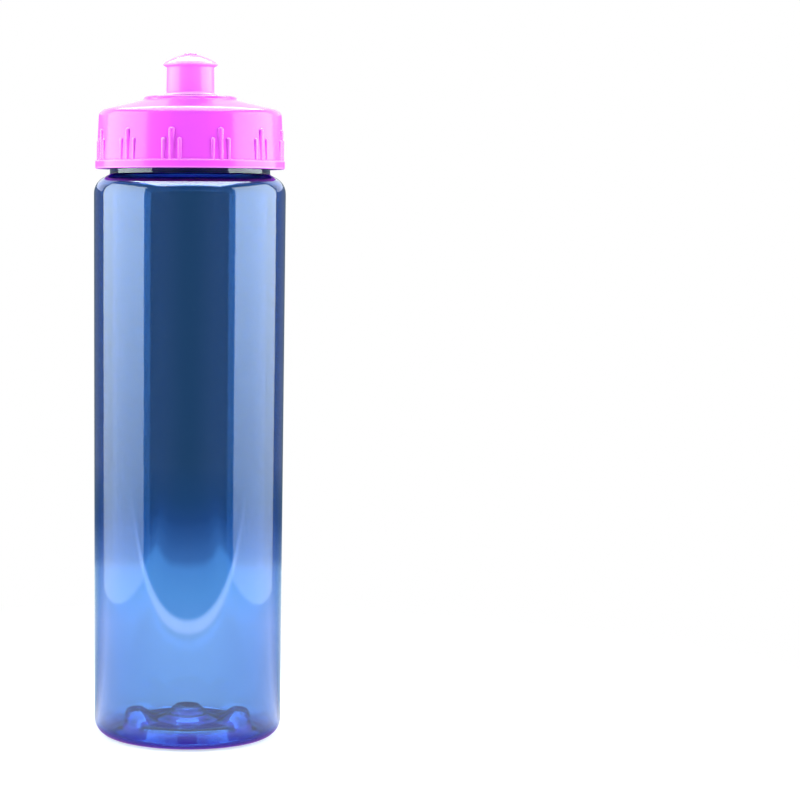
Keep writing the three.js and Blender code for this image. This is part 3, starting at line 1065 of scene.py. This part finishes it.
def make_world(fill):
    """White to the camera, an even fill for matt surfaces, and a dim room in reflections."""
    world = bpy.data.worlds.new("Studio")
    world.use_nodes = True
    bpy.context.scene.world = world
    tree = world.node_tree
    tree.nodes.clear()
    new, link = tree.nodes.new, tree.links.new
    path = new("ShaderNodeLightPath")
    room, even, white = (new("ShaderNodeBackground") for _ in range(3))
    parts = new("ShaderNodeSeparateXYZ")
    link(new("ShaderNodeTexCoord").outputs["Generated"], parts.inputs[0])
    aside = calculate(new, link, "ABSOLUTE", parts.outputs["X"])
    turn = between(new, link, aside, *ROOM_TURN)
    link(blend(new, link, turn, ROOM_BEHIND, ROOM_ASIDE), room.inputs["Color"])
    even.inputs["Color"].default_value = (1, 1, 1, 1)
    even.inputs["Strength"].default_value = fill
    white.inputs["Color"].default_value = (1, 1, 1, 1)
    matt_mix, seen_mix = new("ShaderNodeMixShader"), new("ShaderNodeMixShader")
    link(path.outputs["Is Diffuse Ray"], matt_mix.inputs["Fac"])
    link(room.outputs[0], matt_mix.inputs[1])
    link(even.outputs[0], matt_mix.inputs[2])
    link(path.outputs["Is Camera Ray"], seen_mix.inputs["Fac"])
    link(matt_mix.outputs[0], seen_mix.inputs[1])
    link(white.outputs[0], seen_mix.inputs[2])
    output = new("ShaderNodeOutputWorld")
    link(seen_mix.outputs[0], output.inputs["Surface"])


def make_camera():
    """The camera in front of the bottle, tilted down a little."""
    data = bpy.data.cameras.new("Camera")
    data.lens = CAMERA_LENS
    data.sensor_width = CAMERA_SENSOR
    data.shift_x = CAMERA_SHIFT
    camera = bpy.data.objects.new("Camera", data)
    camera.location = (0, -CAMERA_DISTANCE, CAMERA_HEIGHT)
    camera.rotation_mode = "QUATERNION"
    gaze = Vector((0, math.cos(CAMERA_PITCH), -math.sin(CAMERA_PITCH)))
    aim = gaze.to_track_quat("-Z", "Y")
    camera.rotation_quaternion = aim @ Quaternion((0, 0, 1), CAMERA_ROLL)
    bpy.context.scene.collection.objects.link(camera)
    bpy.context.scene.camera = camera


def make_stage(s):
    """The table twice, as the camera sees it and as the clear wall shows it, the lights and the camera."""
    bpy.context.scene.view_settings.view_transform = "Standard"
    table = disc("table", 0, white_table())
    table.visible_glossy = table.visible_transmission = False
    behind = disc("table_seen_through", -1 * MM, fading_table())
    behind.visible_camera = behind.visible_diffuse = behind.visible_shadow = False
    for sign, name in ((-1, "left_softbox"), (1, "right_softbox")):
        power = power_for(s.side_glow, SOFTBOX_SIZE)
        place = (sign * SOFTBOX_ASIDE, *SOFTBOX_CENTRE)
        light = soft_light(name, power, place, (0, *SOFTBOX_CENTRE), SOFTBOX_SIZE)
        light.data.color = SOFTBOX_COLOUR
        fade_softbox(light)
    soft_light("key_light", s.key_power, **KEY_LIGHT).visible_glossy = False
    panels = (("top_softbox", s.top_glow, TOP_SOFTBOX), ("backdrop", s.backdrop_glow, BACKDROP))
    for name, glow, panel in panels:
        soft_light(name, power_for(glow, panel["size"]), **panel).visible_diffuse = False
    make_world(s.fill)
    make_camera()


# ------------------------------------------------------------------ operators and panel


class BOTTLE_OT_stage(bpy.types.Operator):
    """Add the floor, the lights and the camera"""

    bl_idname = "bottle.stage"
    bl_label = "Stage"

    def execute(self, context):
        make_stage(context.scene.bottle_stage)
        return {"FINISHED"}


class BOTTLE_OT_body(bpy.types.Operator):
    """Add the clear blue bottle with its threaded neck"""

    bl_idname = "bottle.body"
    bl_label = "Bottle"

    def execute(self, context):
        piece = make_bottle(context.scene.bottle_sizes)
        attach(piece, "bottle")
        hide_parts("bottle_body")
        return {"FINISHED"}


class BOTTLE_OT_liner(bpy.types.Operator):
    """Add the soft sealing ring under the cap"""

    bl_idname = "bottle.liner"
    bl_label = "Liner"

    def execute(self, context):
        piece = make_liner(context.scene.bottle_lid)
        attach(piece, "liner")
        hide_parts("lid_liner")
        return {"FINISHED"}


class BOTTLE_OT_cap(bpy.types.Operator):
    """Add the ribbed screw cap with its chimney and centre post"""

    bl_idname = "bottle.cap"
    bl_label = "Cap"

    def execute(self, context):
        piece = make_cap(context.scene.bottle_lid)
        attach(piece, "cap")
        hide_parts("screw_cap")
        return {"FINISHED"}


class BOTTLE_OT_spout(bpy.types.Operator):
    """Add the push-pull spout"""

    bl_idname = "bottle.spout"
    bl_label = "Spout"

    def execute(self, context):
        piece = make_spout(context.scene.bottle_lid)
        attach(piece, "spout")
        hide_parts("pull_spout")
        return {"FINISHED"}


OPERATORS = (BOTTLE_OT_stage, BOTTLE_OT_body, BOTTLE_OT_liner, BOTTLE_OT_cap, BOTTLE_OT_spout)


class BOTTLE_PT_panel(bpy.types.Panel):
    """Sizes, colours and buttons of the bottle"""

    bl_label = "Sports bottle"
    bl_idname = "BOTTLE_PT_panel"
    bl_space_type = "VIEW_3D"
    bl_region_type = "UI"
    bl_category = "Bottle"

    def draw(self, context):
        scene = context.scene
        for settings in (scene.bottle_sizes, scene.bottle_lid, scene.bottle_stage):
            box = self.layout.box()
            for name in settings.__annotations__:
                box.prop(settings, name)
        for operator in OPERATORS:
            self.layout.operator(operator.bl_idname)


GROUPS = (BottleSizes, LidSizes, StageSettings)


def register():
    for cls in (*GROUPS, *OPERATORS, BOTTLE_PT_panel):
        bpy.utils.register_class(cls)
    bpy.types.Scene.bottle_sizes = PointerProperty(type=BottleSizes)
    bpy.types.Scene.bottle_lid = PointerProperty(type=LidSizes)
    bpy.types.Scene.bottle_stage = PointerProperty(type=StageSettings)


def unregister():
    del bpy.types.Scene.bottle_sizes
    del bpy.types.Scene.bottle_lid
    del bpy.types.Scene.bottle_stage
    for cls in reversed((*GROUPS, *OPERATORS, BOTTLE_PT_panel)):
        bpy.utils.unregister_class(cls)


def main():
    register()
    bpy.ops.bottle.stage()
    bpy.ops.bottle.body()
    bpy.ops.bottle.liner()
    bpy.ops.bottle.cap()
    bpy.ops.bottle.spout()


if __name__ == "__main__":
    main()
